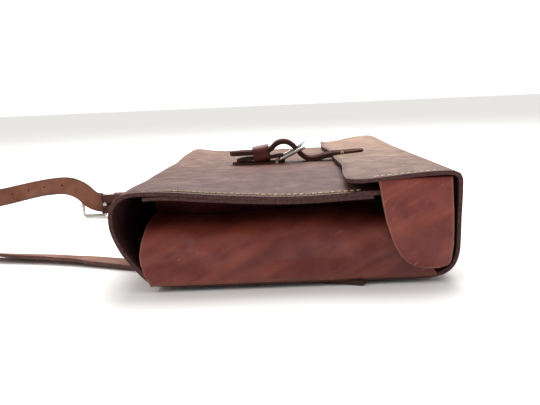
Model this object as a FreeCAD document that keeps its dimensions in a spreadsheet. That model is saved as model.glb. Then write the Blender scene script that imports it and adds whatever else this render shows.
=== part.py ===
import FreeCAD, Part
import math
import os
import re

import Sketcher

# A leather drum stick bag, lying on its back panel.
# Origin: on the table under the middle of the bag.
# +X runs from the bag's closed bottom edge to its spine, +Y along its width, +Z up to the front panel.

os.makedirs("parts", exist_ok=True)
doc = FreeCAD.newDocument("drum_stick_bag")

sizes = {
    # the leather case
    "bag_width": 420,
    "bag_length": 249,
    "bag_depth": 64.5,
    "shell_leather": 3.2,
    "gusset_leather": 2.4,
    "strap_leather": 3,
    "front_bend": 16,
    "side_bend": 25,
    "back_bend": 15,
    "side_height": 36,
    "side_lean": 28.6,
    "spine_bend": 22,
    "crown_bend": 8,
    "spine_lean": 3.2,
    "mouth_inset": 19.5,
    "fold_gap": 0.3,
    # the lid and its ears
    "lid_reach": 74.5,
    "lid_rise": 9,
    "lid_droop": 3,
    "lid_overhang": 3,
    "lid_corner": 10,
    "ear_gap": 0.4,
    "ear_drop": 58,
    "ear_width": 53,
    "ear_flange": 12,
    "ear_flange_width": 45,
    "ear_lean": 11,
    "ear_toe": 31,
    "ear_heel": 3.5,
    "ear_heel_rise": 3,
    "ear_sweep": 50,
    "ear_toe_round": 15,
    "ear_heel_round": 7,
    # the gussets
    "flange_width": 18,
    "pleat_depth": 50,
    "pleat_drop": 15,
    "gusset_inset": 1.2,
    "bulge_top": 27,
    "bulge_foot": 9.7,
    "gusset_slant": 44,
    "gusset_setback": 19,
    "gusset_heel": 9,
    "gusset_heel_rise": 7,
    "gusset_waist": 21,
    "gusset_waist_rise": 24,
    "gusset_neck": 30,
    "gusset_neck_drop": 7.8,
    "gusset_lip": 4,
    "gusset_lip_drop": 4.5,
    # stitching
    "seam_inset": 6,
    "seam_lead": 6,
    "lid_seam_lead": 13,
    "back_seam_lead": 8,
    "stitch_pitch": 4.5,
    "stitch_length": 3.2,
    "stitch_width": 0.9,
    "stitch_height": 0.5,
    # buckles
    "strap_width": 21,
    "strap_gap": 0.5,
    "wire_radius": 1.8,
    "frame_length": 26,
    "frame_corner": 2.8,
    "chape_leather": 2.6,
    "chape_nose": 2.4,
    "chape_step": 6,
    "chape_ease": 5,
    "slot_length": 18,
    "slot_height": 20,
    "loop_gap": 0.3,
    "prong_radius": 1.2,
    "prong_ring": 1.4,
    "prong_ring_width": 2.9,
    "prong_reach": 2.5,
    "keeper_wall": 2,
    "keeper_length": 16,
    "keeper_height": 14,
    "keeper_place": 10.5,
    "hole_radius": 1.6,
    "hole_pitch": 23.5,
    "hole_count": 5,
    # the closure
    "closure_setback": 52.5,
    "closure_tilt": 25,
    "closure_chape": 50,
    "billet_sewn": 37,
    "billet_tail": 56,
    "billet_hump": 18.5,
    "billet_lift": 3,
    "billet_dip": 6,
    "billet_drop": 9,
    "billet_ease": 9,
    "billet_sweep": 20,
    # the shoulder strap
    "strap_lift": 1.6,
    "shoulder_chape": 58,
    "strap_tail": 54,
}

sheet = doc.addObject("Spreadsheet::Sheet", "Sizes")
for row, (word, number) in enumerate(sizes.items(), start=1):
    sheet.set(f"A{row}", str(number))
    sheet.setAlias(f"A{row}", word)
doc.recompute()

X_AXIS = FreeCAD.Vector(1, 0, 0)
Y_AXIS = FreeCAD.Vector(0, 1, 0)
Z_AXIS = FreeCAD.Vector(0, 0, 1)
FLAT = FreeCAD.Rotation()
UPRIGHT = FreeCAD.Rotation(X_AXIS, 90)
ACROSS = FreeCAD.Rotation(FreeCAD.Vector(1, 1, 1), 120)


def bind(text):
    """Turn a formula in plain size names into one that reads the spreadsheet."""
    return re.sub(r"[a-z_]+", lambda word: f"Sizes.{word[0]}" if word[0] in sizes else word[0], text)


def size(text):
    """The number that a formula gives now."""
    return float(sheet.evalExpression(bind(text)))


def drive(thing, name, text):
    """Tie a property to a formula."""
    thing.setExpression(name, bind(text))


def place(thing, x="0", y="0", z="0"):
    """Tie an object's position to three formulas."""
    for axis, text in (("x", x), ("y", y), ("z", z)):
        drive(thing, f"Placement.Base.{axis}", text)


def pin_point(sketch, geometry, end, x, y):
    """Hold a sketch point at two formulas."""
    for kind, text in (("DistanceX", x), ("DistanceY", y)):
        index = sketch.addConstraint(Sketcher.Constraint(kind, -1, 1, geometry, end, size(text)))
        drive(sketch, f"Constraints[{index}]", text)


def draw(sketch, corners, closed=True):
    """Draw straight runs between corners (x, y[, radius]), rounding those that give a radius."""
    points = [FreeCAD.Vector(size(corner[0]), size(corner[1]), 0) for corner in corners]
    count = len(corners)
    entries, exits, arcs = [], [], {}
    for index, corner in enumerate(corners):
        point = points[index]
        if len(corner) < 3:
            entries.append(point)
            exits.append(point)
            continue
        back = (points[index - 1] - point).normalize()
        ahead = (points[(index + 1) % count] - point).normalize()
        radius = size(corner[2])
        half_angle = back.getAngle(ahead) / 2
        reach = radius / math.tan(half_angle)
        centre = point + (back + ahead).normalize() * (radius / math.sin(half_angle))
        entry, leave = point + back * reach, point + ahead * reach
        turns_left = back.cross(ahead).z < 0
        first, last = (entry, leave) if turns_left else (leave, entry)
        start = math.atan2(first.y - centre.y, first.x - centre.x)
        stop = math.atan2(last.y - centre.y, last.x - centre.x)
        circle = Part.Circle(centre, Z_AXIS, radius)
        arc = sketch.addGeometry(Part.ArcOfCircle(circle, start, stop if stop > start else stop + math.tau))
        arcs[index] = (arc, 1 if turns_left else 2, 2 if turns_left else 1)
        entries.append(entry)
        exits.append(leave)
    runs = count if closed else count - 1
    lines = [sketch.addGeometry(Part.LineSegment(exits[i], entries[(i + 1) % count])) for i in range(runs)]
    for index, corner in enumerate(corners):
        before = lines[index - 1] if closed or index > 0 else None
        after = lines[index] if index < runs else None
        if index in arcs:
            arc, arc_entry, arc_exit = arcs[index]
            sketch.addConstraint(Sketcher.Constraint("Tangent", before, 2, arc, arc_entry))
            sketch.addConstraint(Sketcher.Constraint("Tangent", arc, arc_exit, after, 1))
            radius = sketch.addConstraint(Sketcher.Constraint("Radius", arc, size(corner[2])))
            drive(sketch, f"Constraints[{radius}]", corner[2])
            point = sketch.addGeometry(Part.Point(points[index]), True)
            sketch.addConstraint(Sketcher.Constraint("PointOnObject", point, 1, before))
            sketch.addConstraint(Sketcher.Constraint("PointOnObject", point, 1, after))
            pin_point(sketch, point, 1, corner[0], corner[1])
        elif after is None:
            pin_point(sketch, before, 2, corner[0], corner[1])
        else:
            if before is not None:
                sketch.addConstraint(Sketcher.Constraint("Coincident", before, 2, after, 1))
            pin_point(sketch, after, 1, corner[0], corner[1])
    return sketch


def free_sketch(name, corners, turn=FLAT, closed=True):
    """A sketch of its own, lying in the plane that the rotation gives."""
    sketch = doc.addObject("Sketcher::SketchObject", name)
    sketch.Placement = FreeCAD.Placement(FreeCAD.Vector(), turn)
    return draw(sketch, corners, closed)


def new_body(name):
    """A body whose features may stand apart from each other."""
    body = doc.addObject("PartDesign::Body", name)
    body.AllowCompound = True
    return body


def body_sketch(body, name, plane):
    """An empty sketch on one of the body's own origin planes."""
    sketch = body.newObject("Sketcher::SketchObject", name)
    sketch.AttachmentSupport = [(next(f for f in body.Origin.OriginFeatures if f.Role == plane), "")]
    sketch.MapMode = "FlatFace"
    return sketch


def pad(body, name, plane, corners, length, offset=None, midplane=False, reverse=False):
    """Raise an outline from an origin plane, or from a plane the offset away from it."""
    sketch = draw(body_sketch(body, f"{name}_outline", plane), corners)
    if offset:
        drive(sketch, "AttachmentOffset.Base.z", offset)
    feature = body.newObject("PartDesign::Pad", name)
    feature.Profile = sketch
    drive(feature, "Length", length)
    feature.Midplane = midplane
    feature.Reversed = reverse
    return feature


def sheet_strip(name, corners, turn, thickness, length):
    """Leather on the left of an open path, or on its right if the thickness is negative."""
    band = doc.addObject("Part::Offset2D", f"{name}_section")
    band.Source = free_sketch(f"{name}_path", corners, turn, closed=False)
    band.Fill = True
    band.Join = "Intersection"
    band.Mode = "Skin"
    drive(band, "Value", thickness)
    strip = doc.addObject("Part::Extrusion", name)
    strip.Base = band
    strip.DirMode = "Custom"
    strip.Dir = turn.multVec(Z_AXIS)
    strip.Solid = True
    strip.Symmetric = turn == UPRIGHT
    drive(strip, "LengthFwd", length)
    return strip


def prism(name, corners, turn, length):
    """A solid of one outline, standing both sides of its plane."""
    block = doc.addObject("Part::Extrusion", name)
    block.Base = free_sketch(f"{name}_outline", corners, turn)
    block.DirMode = "Custom"
    block.Dir = turn.multVec(Z_AXIS)
    block.Solid = True
    block.Symmetric = True
    drive(block, "LengthFwd", length)
    return block


def keep_inside(name, *things):
    """What several solids share."""
    shared = doc.addObject("Part::MultiCommon", name)
    shared.Shapes = list(things)
    return shared


def cut_away(name, base, tool):
    """One solid less another."""
    rest = doc.addObject("Part::Cut", name)
    rest.Base = base
    rest.Tool = tool
    return rest


def mirror(name, source):
    """The same piece on the far side of the bag."""
    copy = doc.addObject("Part::Mirroring", name)
    copy.Source = source
    copy.Normal = Y_AXIS
    return copy


# ---- places that several pieces share ----

FLOOR = "strap_leather"
BACK_TOP = "(strap_leather + shell_leather)"
FRONT = "(strap_leather + bag_depth)"
FRONT_UNDER = "(strap_leather + bag_depth - shell_leather)"
LEFT = "(-bag_length / 2)"
RIGHT = "(bag_length / 2)"
EDGE = "(bag_width / 2)"
MOUTH = "(bag_length / 2 - mouth_inset)"
CROWN = "(strap_leather + bag_depth + lid_rise)"
HEEL = "(bag_length / 2 - spine_lean)"
LID_END = "(bag_length / 2 - lid_reach)"
LID_EDGE = "(bag_width / 2 + lid_overhang)"
CLOSURE = "(bag_length / 2 - lid_reach - closure_setback)"
LID_TILT = math.degrees(math.atan2(size("lid_droop"), size("lid_reach")))


def lid_height(x):
    """The lid's top surface at one place along X."""
    return f"({CROWN} - ({RIGHT} - ({x})) * lid_droop / lid_reach)"


# ---- the case: one strap of leather bent round the contents, parted at its two folds ----

BOTTOM_EDGE = [
    (LEFT, FRONT, "front_bend"),
    (LEFT, "strap_leather + side_height", "side_bend"),
    (f"{LEFT} + side_lean", FLOOR, "back_bend"),
    (HEEL, FLOOR, "spine_bend"),
]
REACH = "45"


def fold_prism(name, gap):
    """The space of the spine, between the two folds, drawn in by a gap."""
    return prism(
        name,
        [
            (f"{HEEL} - {REACH} + {gap}", f"{FLOOR} + {REACH} + {gap}"),
            (f"{HEEL} + {REACH} + {gap}", f"{FLOOR} - {REACH} + {gap}"),
            (f"{RIGHT} + {REACH} + {gap}", f"{CROWN} + {REACH} - {gap}"),
            (f"{RIGHT} - {REACH} / 2 + {gap}", f"{CROWN} - {REACH} / 2 - {gap}"),
        ],
        UPRIGHT,
        "bag_width * 2",
    )


def make_case():
    """The shell with its front, bottom and back, then the spine, then the lid."""
    wrap = sheet_strip(
        "shell_strip",
        [(MOUTH, FRONT)] + BOTTOM_EDGE + [(HEEL, f"{FLOOR} + {REACH}")],
        UPRIGHT,
        "shell_leather",
        "bag_width",
    )
    spine_strip = sheet_strip(
        "spine_strip",
        [("0", FLOOR), (HEEL, FLOOR, "spine_bend"), (RIGHT, CROWN, "crown_bend"), ("0", lid_height("0"))],
        UPRIGHT,
        "shell_leather",
        "bag_width",
    )
    lid_strip = sheet_strip(
        "lid_strip",
        [(RIGHT, f"{CROWN} - {REACH}"), (RIGHT, CROWN, "crown_bend"), (LID_END, lid_height(LID_END))],
        UPRIGHT,
        "shell_leather",
        "bag_width + 2 * lid_overhang",
    )
    lid_plan = prism(
        "lid_plan",
        [
            (LID_END, f"-{LID_EDGE}", "lid_corner"),
            (f"{RIGHT} + {REACH}", f"-{LID_EDGE}"),
            (f"{RIGHT} + {REACH}", LID_EDGE),
            (LID_END, LID_EDGE, "lid_corner"),
        ],
        FLAT,
        "bag_width",
    )
    cut_away("body_shell", wrap, fold_prism("shell_fold", "0"))
    keep_inside("spine_panel", spine_strip, fold_prism("spine_fold", "fold_gap"))
    lid_blank = cut_away("lid_blank", lid_strip, fold_prism("lid_fold", "-fold_gap"))
    keep_inside("lid_panel", lid_blank, lid_plan)


# ---- the ends of the case ----


def make_gussets():
    """Each end: sewn flanges turned outward, a deep pleat at the top and a round bulge below."""
    wall = f"-{EDGE} + gusset_leather + gusset_inset"
    fold = f"-{EDGE} + flange_width"
    section = sheet_strip(
        "gusset_sheet",
        [
            (f"-{EDGE}", FRONT_UNDER),
            (fold, FRONT_UNDER, "gusset_leather * 2"),
            (f"-{EDGE} + pleat_depth", f"{FRONT_UNDER} - pleat_drop", "gusset_leather * 1.6"),
            (wall, f"{BACK_TOP} + bulge_top", "gusset_leather * 4"),
            (wall, f"{BACK_TOP} + bulge_foot", "gusset_leather * 2"),
            (fold, BACK_TOP, "gusset_leather * 1.1"),
            (f"-{EDGE}", BACK_TOP),
        ],
        ACROSS,
        "-gusset_leather",
        "bag_length",
    )
    place(section, LEFT)
    corner = f"{LEFT} + side_lean + back_bend / 2"
    outline = prism(
        "gusset_outline",
        [
            (corner, BACK_TOP),
            (f"{corner} - gusset_heel", f"{BACK_TOP} + gusset_heel_rise", "gusset_heel_rise"),
            (f"{LEFT} + gusset_waist", f"{BACK_TOP} + gusset_waist_rise", "gusset_neck"),
            (f"{LEFT} + gusset_neck", f"{FRONT_UNDER} - gusset_neck_drop"),
            (f"{LEFT} + front_bend + gusset_lip", f"{FRONT_UNDER} - gusset_lip_drop"),
            (f"{LEFT} + front_bend + gusset_lip", FRONT_UNDER),
            (f"{RIGHT} - gusset_setback - gusset_slant", FRONT_UNDER),
            (f"{RIGHT} - gusset_setback", BACK_TOP),
        ],
        UPRIGHT,
        "bag_width * 2",
    )
    blank = keep_inside("gusset_blank", section, outline)
    near = cut_away("near_gusset", blank, doc.shell_strip)
    mirror("far_gusset", near)


def make_ears():
    """Flaps that hang from the lid's ends and cover the mouth's corners."""
    right = f"{RIGHT} - crown_bend + 1"
    left = f"{right} - ear_width"
    near = new_body("near_ear")
    place(near, "0", f"-{EDGE} - ear_gap")

    def top(x):
        return f"{lid_height(x)} - shell_leather * 1.002"

    def under(x):
        return f"{lid_height(x)} - shell_leather * 1.002 - gusset_leather"

    pad(
        near,
        "ear_wall",
        "XZ_Plane",
        [
            (left, top(left)),
            (f"{left} + ear_lean", f"{CROWN} - ear_drop + 2 * ear_heel_round - 2", "ear_sweep"),
            (f"{left} + ear_toe", f"{CROWN} - ear_drop - lid_rise + 1", "ear_toe_round"),
            (f"{right} - ear_heel", f"{CROWN} - ear_drop - lid_rise + 1 + ear_heel_rise", "ear_heel_round"),
            (f"{right} + 0.5", f"{CROWN} - ear_drop / 2", "ear_sweep"),
            (f"{right} - 1", top(f"{right} - 1")),
        ],
        "gusset_leather",
    )
    pad(
        near,
        "ear_flange",
        "XZ_Plane",
        [
            (left, top(left)),
            (left, under(left)),
            (f"{left} + ear_flange_width", under(f"{left} + ear_flange_width")),
            (f"{left} + ear_flange_width", top(f"{left} + ear_flange_width")),
        ],
        "ear_flange",
        reverse=True,
    )
    mirror("far_ear", near)


# ---- stitching: each seam is a row of separate stitches lying on the leather ----


def stitch_row(name, start, length, tilt=0, turn=0):
    """A straight row of stitches that starts at a place given by three formulas."""
    body = new_body(name)
    half = "stitch_width / 2"
    stitch = pad(
        body,
        f"{name}_stitch",
        "XY_Plane",
        [("0", f"-{half}"), ("stitch_length", f"-{half}"), ("stitch_length", half), ("0", half)],
        "stitch_height",
    )
    doc.recompute()
    row = body.newObject("PartDesign::LinearPattern", f"{name}_row")
    row.Originals = [stitch]
    row.Direction = (next(f for f in body.Origin.OriginFeatures if f.Role == "X_Axis"), [""])
    drive(row, "Occurrences", f"floor(({length}) / stitch_pitch) + 1")
    drive(row, "Length", f"floor(({length}) / stitch_pitch) * stitch_pitch")
    body.Tip = row
    rise = FreeCAD.Rotation(Y_AXIS, -tilt)
    body.Placement = FreeCAD.Placement(FreeCAD.Vector(), FreeCAD.Rotation(Z_AXIS, turn).multiply(rise))
    place(body, *start)
    return body


def make_seams():
    """The long seams of both ends, and the lid's short ones over its ears."""
    seam_start = f"{LEFT} + front_bend + seam_lead"
    seam_length = "bag_length - front_bend - gusset_setback - gusset_slant - 2 * seam_lead"
    seam_line = f"-{EDGE} + seam_inset"
    near_front = stitch_row("near_front_seam", (seam_start, seam_line, FRONT), seam_length)
    mirror("far_front_seam", near_front)
    back_start = f"{LEFT} + side_lean + back_bend"
    near_back = stitch_row(
        "near_back_seam",
        (back_start, seam_line, f"{BACK_TOP} + gusset_leather"),
        "bag_length - side_lean - back_bend - gusset_setback - back_seam_lead",
    )
    mirror("far_back_seam", near_back)
    lid_start = f"{LID_END} + lid_seam_lead"
    near_lid = stitch_row(
        "near_lid_seam",
        (lid_start, f"-{LID_EDGE} + seam_inset", lid_height(lid_start)),
        "lid_reach - crown_bend - lid_seam_lead - 5",
        tilt=LID_TILT,
    )
    mirror("far_lid_seam", near_lid)


# ---- buckles: local X along the strap, local Y across it, local Z out of its face; the heel bar at 0 ----

HALF_STRAP = "(strap_width / 2)"
HALF_FRAME = "(strap_width / 2 + strap_gap + wire_radius)"
LOOP_RADIUS = "(wire_radius + loop_gap)"
LAYER_GAP = "(keeper_wall + 2 * loop_gap / 3)"
LAYER_LOW = "(-wire_radius - loop_gap)"
LAYER_HIGH = f"({LAYER_LOW} + {LAYER_GAP})"


def make_frame(name):
    """A rectangle of round wire."""
    body = new_body(name)
    path = draw(
        body_sketch(body, f"{name}_path", "XY_Plane"),
        [
            ("0", f"-{HALF_FRAME}", "frame_corner"),
            ("frame_length", f"-{HALF_FRAME}", "frame_corner"),
            ("frame_length", HALF_FRAME, "frame_corner"),
            ("0", HALF_FRAME, "frame_corner"),
        ],
    )
    profile = body_sketch(body, f"{name}_wire", "XZ_Plane")
    wire = profile.addGeometry(Part.Circle(FreeCAD.Vector(), Z_AXIS, size("wire_radius")))
    profile.addConstraint(Sketcher.Constraint("Coincident", wire, 3, -1, 1))
    drive(profile, f"Constraints[{profile.addConstraint(Sketcher.Constraint('Radius', wire, size('wire_radius')))}]",
          "wire_radius")
    doc.recompute()
    pipe = body.newObject("PartDesign::AdditivePipe", f"{name}_pipe")
    pipe.Profile = profile
    pipe.Spine = (path, [f"Edge{index + 1}" for index in range(len(path.Shape.Edges))])
    return body


def make_prong(name):
    """A ring on the heel bar with an arm that reaches past the outer bar."""
    body = new_body(name)
    hole = LOOP_RADIUS
    rim = f"({LOOP_RADIUS} + prong_ring)"
    ring = body_sketch(body, f"{name}_ring_outline", "XZ_Plane")
    for radius in (hole, rim):
        circle = ring.addGeometry(Part.Circle(FreeCAD.Vector(), Z_AXIS, size(radius)))
        ring.addConstraint(Sketcher.Constraint("Coincident", circle, 3, -1, 1))
        index = ring.addConstraint(Sketcher.Constraint("Radius", circle, size(radius)))
        drive(ring, f"Constraints[{index}]", radius)
    band = body.newObject("PartDesign::Pad", f"{name}_ring")
    band.Profile = ring
    band.Midplane = True
    drive(band, "Length", "prong_ring_width")
    tip = "frame_length + wire_radius + prong_reach"
    pad(
        body,
        f"{name}_arm",
        "XZ_Plane",
        [
            (f"{hole} + prong_ring / 2", "-prong_radius"),
            (tip, "-prong_radius / 3"),
            (tip, "prong_radius / 3"),
            (f"{hole} + prong_ring / 2", "prong_radius"),
        ],
        "prong_radius * 2",
        midplane=True,
    )
    return body


def make_chape(name, length):
    """A strap end folded round the heel bar, slotted for the prong."""
    turn = f"({LOOP_RADIUS} - 0.1)"
    strip = sheet_strip(
        f"{name}_strip",
        [
            (f"-{length}", LAYER_HIGH),
            ("-chape_step", LAYER_HIGH, "chape_ease"),
            ("-chape_nose", LOOP_RADIUS, "chape_nose"),
            (LOOP_RADIUS, LOOP_RADIUS, turn),
            (LOOP_RADIUS, f"-{LOOP_RADIUS}", turn),
            (f"-{length}", LAYER_LOW),
        ],
        UPRIGHT,
        "chape_leather",
        "strap_width",
    )
    slot = doc.addObject("Part::Box", f"{name}_slot")
    drive(slot, "Length", "slot_length")
    drive(slot, "Width", "prong_ring_width + 4 * loop_gap")
    drive(slot, "Height", "slot_height")
    place(slot, "-slot_length / 2", "-prong_ring_width / 2 - 2 * loop_gap", "-2 * chape_leather")
    return cut_away(name, strip, slot)


def make_keeper(name):
    """A leather loop held between the chape's two layers."""
    body = new_body(name)
    inner = f"({HALF_STRAP} + strap_gap)"
    outer = f"({inner} + keeper_wall)"
    low = f"({LAYER_LOW} + loop_gap / 3)"
    pad(
        body,
        f"{name}_block",
        "YZ_Plane",
        [
            (f"-{outer}", low, "2"),
            (outer, low, "2"),
            (outer, f"{low} + keeper_height", "2"),
            (f"-{outer}", f"{low} + keeper_height", "2"),
        ],
        "keeper_length",
        offset="-keeper_place - keeper_length",
    )
    window = draw(
        body_sketch(body, f"{name}_window_outline", "YZ_Plane"),
        [
            (f"-{inner}", f"{low} + keeper_wall"),
            (inner, f"{low} + keeper_wall"),
            (inner, f"{low} + keeper_height - keeper_wall"),
            (f"-{inner}", f"{low} + keeper_height - keeper_wall"),
        ],
    )
    cut = body.newObject("PartDesign::Pocket", f"{name}_window")
    cut.Profile = window
    cut.Type = "ThroughAll"
    cut.Midplane = True
    return body


def needle(name, tilt):
    """A round cutter along the prong, for the strap hole that the prong goes through."""
    cutter = doc.addObject("Part::Cylinder", name)
    drive(cutter, "Radius", "prong_radius + loop_gap * 2")
    drive(cutter, "Height", "frame_length * 1.5")
    cutter.Placement = FreeCAD.Placement(FreeCAD.Vector(), FreeCAD.Rotation(Y_AXIS, 90 - tilt))
    return cutter


PRONG_LIFT = math.degrees(math.atan2(size("wire_radius + prong_radius + loop_gap"), size("frame_length")))


def make_closure():
    """The buckle on the front panel and the strap end sewn to the lid."""
    heel = f"({FRONT} + {LOOP_RADIUS} + chape_leather)"
    chape = make_chape("closure_chape", "closure_chape")
    keeper = make_keeper("closure_keeper")
    frame = make_frame("closure_buckle")
    prong = make_prong("closure_prong")
    tilt = size("closure_tilt")
    frame.Placement = FreeCAD.Placement(FreeCAD.Vector(), FreeCAD.Rotation(Y_AXIS, -tilt))
    prong.Placement = FreeCAD.Placement(FreeCAD.Vector(), FreeCAD.Rotation(Y_AXIS, -tilt - PRONG_LIFT))
    for thing in (chape, keeper, frame, prong):
        place(thing, CLOSURE, "0", heel)
    sewn_end = f"{LID_END} + billet_sewn"
    strip = sheet_strip(
        "billet_strip",
        [
            (sewn_end, lid_height(sewn_end)),
            (f"{LID_END} - 2", lid_height(f"{LID_END} - 2"), "billet_sweep"),
            (f"{CLOSURE} + frame_length", f"{FRONT} + billet_lift", "billet_ease"),
            (f"{CLOSURE} + billet_lift", f"{heel} + billet_hump", "billet_ease"),
            (f"{CLOSURE} - billet_drop", f"{heel} + billet_dip", "billet_ease - 1"),
            (f"{CLOSURE} - billet_tail", f"{heel} + billet_dip - 1"),
        ],
        UPRIGHT,
        "-strap_leather",
        "strap_width",
    )
    cutter = needle("billet_needle", tilt + PRONG_LIFT)
    place(cutter, CLOSURE, "0", heel)
    cut_away("closure_billet", strip, cutter)


# ---- the shoulder strap: its route is a list of chosen points, in millimetres ----

STRAP_ENDS = {"near": (58.5, -203), "far": (52, 203)}
STRAP_EXITS = {"near": (-112, -143), "far": (-112, 128)}
BUCKLE_SPOT = (-213, 112)
FLAT_ROUTE = [STRAP_EXITS["near"], (-165, -131), (-212, -115), (-254, -95)]
EDGE_ROUTE = [(-236, -103), (-300, -76), (-372, -52), (-438, -12), (-468, 44), (-464, 108), (-412, 148),
              (-344, 140), (-292, 121)]
THREADED = [(-48, -4.5), (-27, -6), (2, 10.5), (19.5, 8.5)]
TAIL_RISE = 9.5
FAR_ROUTE = [(-176, 112), (-144, 117), STRAP_EXITS["far"]]
ROUND_SHARE = 0.45


def route(points):
    """Corners of the strap's path, each rounded as widely as its two runs allow."""
    corners = [tuple(str(number) for number in point) for point in points]
    for index in range(1, len(points) - 1):
        here = FreeCAD.Vector(*points[index])
        back = FreeCAD.Vector(*points[index - 1]) - here
        ahead = FreeCAD.Vector(*points[index + 1]) - here
        turn = math.pi - back.getAngle(ahead)
        radius = ROUND_SHARE * min(back.Length, ahead.Length) / math.tan(turn / 2)
        print(f"strap radius at {points[index]}: {radius:.0f} mm, turn {math.degrees(turn):.0f} degrees")
        corners[index] += (f"{radius:.3f}",)
    return corners


def strap_end(side, rest_of_strap):
    """The end of the strap that lies under the bag, straight from its seam to where it comes out."""
    start, leave = (FreeCAD.Vector(*spots[side]) for spots in (STRAP_ENDS, STRAP_EXITS))
    body = new_body(f"{side}_end_band")
    length = f"{(leave - start).Length:.3f}"
    pad(
        body,
        f"{side}_strap_band",
        "XY_Plane",
        [("0", f"-{HALF_STRAP}"), (length, f"-{HALF_STRAP}"), (length, HALF_STRAP), ("0", HALF_STRAP)],
        "strap_leather",
    )
    heading = math.degrees(math.atan2(leave.y - start.y, leave.x - start.x))
    body.Placement = FreeCAD.Placement(start, FreeCAD.Rotation(Z_AXIS, heading))
    cut_away(f"{side}_strap_end", body, rest_of_strap)


def flat_strap(name, points):
    """Strap lying flat along a route."""
    corners = route(points)
    halves = []
    for side, half in (("left", HALF_STRAP), ("right", f"-{HALF_STRAP}")):
        strip = sheet_strip(f"{name}_{side}", corners, FLAT, half, "strap_leather")
        place(strip, "0", "0", "strap_lift")
        halves.append(strip)
    band = doc.addObject("Part::MultiFuse", name)
    band.Shapes = halves
    band.Refine = True
    return band


def make_shoulder_strap():
    """Both ends under the bag, the long strap, and the short one with the buckle."""
    strap_end("near", flat_strap("shoulder_strap_flat", FLAT_ROUTE))
    strap_end("far", flat_strap("shoulder_strap_far", FAR_ROUTE))

    heel_x, heel_y = BUCKLE_SPOT
    low = "strap_lift + strap_leather"
    threaded = [(heel_x + along, heel_y + out) for along, out in THREADED]
    threaded.append((heel_x + size("strap_tail"), heel_y + TAIL_RISE))
    strip = sheet_strip("long_strap", route(EDGE_ROUTE + threaded), FLAT, "strap_leather", "strap_width")
    place(strip, "0", "0", low)
    onto_side = FreeCAD.Rotation(FreeCAD.Vector(-1, 0, 0), Z_AXIS, Y_AXIS, "ZXY")
    chape = make_chape("shoulder_chape", "shoulder_chape")
    keeper = make_keeper("shoulder_keeper")
    frame = make_frame("shoulder_buckle")
    prong = make_prong("shoulder_prong")
    prong.Placement.Rotation = FreeCAD.Rotation(Y_AXIS, -PRONG_LIFT)
    cutter = needle("strap_needle", PRONG_LIFT)
    middle = f"{low} + {HALF_STRAP}"
    for thing in (chape, keeper, frame, prong, cutter):
        thing.Placement = FreeCAD.Placement(FreeCAD.Vector(), onto_side.multiply(thing.Placement.Rotation))
        place(thing, str(heel_x), str(heel_y), middle)
    punches = [cutter]
    for index in range(1, int(size("hole_count")) + 1):
        punch = doc.addObject("Part::Cylinder", f"strap_hole_{index}")
        drive(punch, "Radius", "hole_radius")
        drive(punch, "Height", "strap_width * 4")
        punch.Placement.Rotation = UPRIGHT
        place(punch, f"{heel_x} - frame_length - {index} * hole_pitch", f"{heel_y} + strap_width * 2", middle)
        punches.append(punch)
    holes = doc.addObject("Part::Compound", "strap_holes")
    holes.Links = punches
    cut_away("shoulder_strap_loop", strip, holes)


make_case()
make_gussets()
make_ears()
make_seams()
make_closure()
make_shoulder_strap()

NODES = [
    "body_shell",
    "spine_panel",
    "lid_panel",
    "near_gusset",
    "far_gusset",
    "near_ear",
    "far_ear",
    "near_front_seam",
    "far_front_seam",
    "near_back_seam",
    "far_back_seam",
    "near_lid_seam",
    "far_lid_seam",
    "closure_billet",
    "closure_chape",
    "closure_keeper",
    "closure_buckle",
    "closure_prong",
    "near_strap_end",
    "far_strap_end",
    "shoulder_strap_flat",
    "shoulder_strap_loop",
    "shoulder_strap_far",
    "shoulder_chape",
    "shoulder_keeper",
    "shoulder_buckle",
    "shoulder_prong",
]

doc.recompute()
for thing in doc.Objects:
    if "Invalid" in thing.State or "Error" in thing.State:
        raise RuntimeError(f"{thing.Name} did not build: {thing.State}")
for name in NODES:
    node = doc.getObject(name)
    if node.Shape.isNull() or not node.Shape.isValid() or not node.Shape.Solids:
        raise RuntimeError(f"{name} has no sound shape")
    node.Label = name
    box = node.Shape.BoundBox
    print(f"{name}: {len(node.Shape.Solids)} solids, {node.Shape.Volume:.0f} mm3,"
          f" x {box.XMin:.1f}..{box.XMax:.1f}, y {box.YMin:.1f}..{box.YMax:.1f}, z {box.ZMin:.1f}..{box.ZMax:.1f}")
    node.Shape.exportStep(os.path.join("parts", f"{name}.step"))
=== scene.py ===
import bpy
import bmesh
import math
from mathutils import Matrix, Vector, noise
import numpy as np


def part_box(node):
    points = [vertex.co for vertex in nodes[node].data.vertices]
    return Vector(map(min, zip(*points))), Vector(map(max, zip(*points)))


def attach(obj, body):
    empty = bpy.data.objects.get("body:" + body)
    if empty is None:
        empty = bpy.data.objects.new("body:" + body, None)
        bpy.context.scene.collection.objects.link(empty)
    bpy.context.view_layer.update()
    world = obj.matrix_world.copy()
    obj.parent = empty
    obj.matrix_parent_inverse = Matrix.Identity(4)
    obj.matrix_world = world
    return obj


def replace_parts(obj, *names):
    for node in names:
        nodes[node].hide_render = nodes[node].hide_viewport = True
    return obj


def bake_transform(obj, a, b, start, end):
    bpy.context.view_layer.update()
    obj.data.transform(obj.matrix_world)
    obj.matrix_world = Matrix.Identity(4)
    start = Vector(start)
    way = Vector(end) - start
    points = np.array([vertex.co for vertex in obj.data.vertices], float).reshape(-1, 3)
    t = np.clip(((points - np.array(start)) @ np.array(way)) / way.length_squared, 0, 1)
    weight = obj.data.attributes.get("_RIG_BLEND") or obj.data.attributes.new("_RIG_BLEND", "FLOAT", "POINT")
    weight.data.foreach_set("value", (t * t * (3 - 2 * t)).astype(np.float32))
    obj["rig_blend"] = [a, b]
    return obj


# A leather drum stick bag lying on its back panel, with its shoulder strap on the table beside it.
# +X runs from the closed bottom edge to the spine, +Y along the bag's width, +Z up.

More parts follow.
